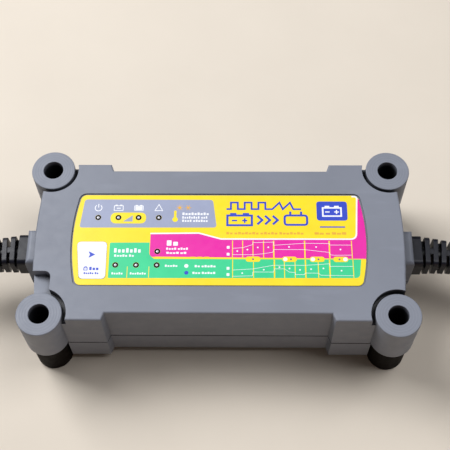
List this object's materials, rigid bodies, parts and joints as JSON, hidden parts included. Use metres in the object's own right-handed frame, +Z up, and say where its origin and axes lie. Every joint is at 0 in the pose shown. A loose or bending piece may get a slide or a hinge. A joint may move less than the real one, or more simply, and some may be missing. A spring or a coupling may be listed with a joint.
{
  "type": "motorcycle battery charger",
  "caption": "Sealed grey battery charger box for motorcycles with round corner bosses on feet, a printed control label with a mode key, and a coiled lead at each end.",
  "frame": {"origin": "centre of the footprint, on the surface that the feet stand on", "axes": "+X towards the output lead, along the length of the case; +Y to the back; +Z up out of the label"},
  "size_m": [0.5441, 0.1156, 0.0508],
  "materials": {
    "shell_grey": "fine moulded texture",
    "seal_rubber": "matt",
    "foot_rubber": "matt moulded",
    "boot_rubber": "satin moulded",
    "cord_sheath": "satin extruded",
    "tie_strap": "woven",
    "plug_plastic": "satin",
    "contact_metal": "plated",
    "label_print": "printed film",
    "key_print": "printed film",
    "key_plastic": "moulded",
    "switch_button": "moulded",
    "switch_case": "moulded",
    "window_clear": "clear",
    "led_package": "lens",
    "board_laminate": "solder resist",
    "screw_steel": "zinc plated",
    "header_plastic": "moulded",
    "ribbon_insulation": "extruded",
    "plate_foil": "brushed",
    "fuse_glass": "clear",
    "clip_brass": "plated",
    "varistor_coat": "dipped",
    "film_case": "moulded",
    "ferrite": "sintered",
    "copper_winding": "enamelled",
    "chip_black": "moulded",
    "can_sleeve": "shrunk sleeve",
    "bobbin_plastic": "moulded",
    "winding_tape": "taped",
    "heatsink_metal": "extruded",
    "core_insulation": "extruded",
    "lead_insulation": "extruded"
  },
  "bodies": {
    "charger": {"upper_shell": "shell_grey", "lower_shell": "shell_grey", "shell_gasket": "seal_rubber", "foot_front_left": "foot_rubber", "foot_front_right": "foot_rubber", "foot_rear_left": "foot_rubber", "foot_rear_right": "foot_rubber", "mains_strain_relief": "boot_rubber", "output_strain_relief": "boot_rubber", "mains_cord": "cord_sheath", "mains_cord_coil": "cord_sheath", "mains_cord_tail": "cord_sheath", "output_cord": "cord_sheath", "output_cord_coil": "cord_sheath", "output_cord_tail": "cord_sheath", "mains_cord_ties": "tie_strap", "output_cord_ties": "tie_strap", "mains_plug": "plug_plastic", "output_connector": "plug_plastic", "mains_plug_pins": "contact_metal", "output_connector_contacts": "contact_metal", "label_overlay": "label_print", "tact_switch_body": "switch_case", "light_windows": "window_clear", "status_leds": "led_package", "display_board": "board_laminate", "main_board": "board_laminate", "display_screws": "screw_steel", "board_screws": "screw_steel", "shell_screws": "screw_steel", "board_headers": "header_plastic", "ribbon_cable": "ribbon_insulation", "rating_plate": "plate_foil", "mains_fuse": "fuse_glass", "fuse_clips": "clip_brass", "varistor": "varistor_coat", "filter_capacitor": "film_case", "choke_core": "ferrite", "transformer_core": "ferrite", "choke_windings": "copper_winding", "output_inductor": "copper_winding", "bridge_rectifier": "chip_black", "power_switch": "chip_black", "output_diode": "chip_black", "control_chips": "chip_black", "optocouplers": "chip_black", "bulk_capacitor": "can_sleeve", "output_capacitors": "can_sleeve", "transformer_bobbin": "bobbin_plastic", "transformer_winding": "winding_tape", "primary_heatsink": "heatsink_metal", "output_heatsink": "heatsink_metal", "mains_wires": "core_insulation", "output_wires": "lead_insulation"},
    "mode_key": {"mode_key_pad": "key_print", "key_pusher": "key_plastic", "tact_switch_plunger": "switch_button"}
  },
  "joints": [
    {"name": "mode_key_press", "type": "slide", "parent": "charger", "child": "mode_key", "axis": [0, 0, -1], "range_m": [0, 0.0004], "stiffness_N_per_m": 3500}
  ]
}
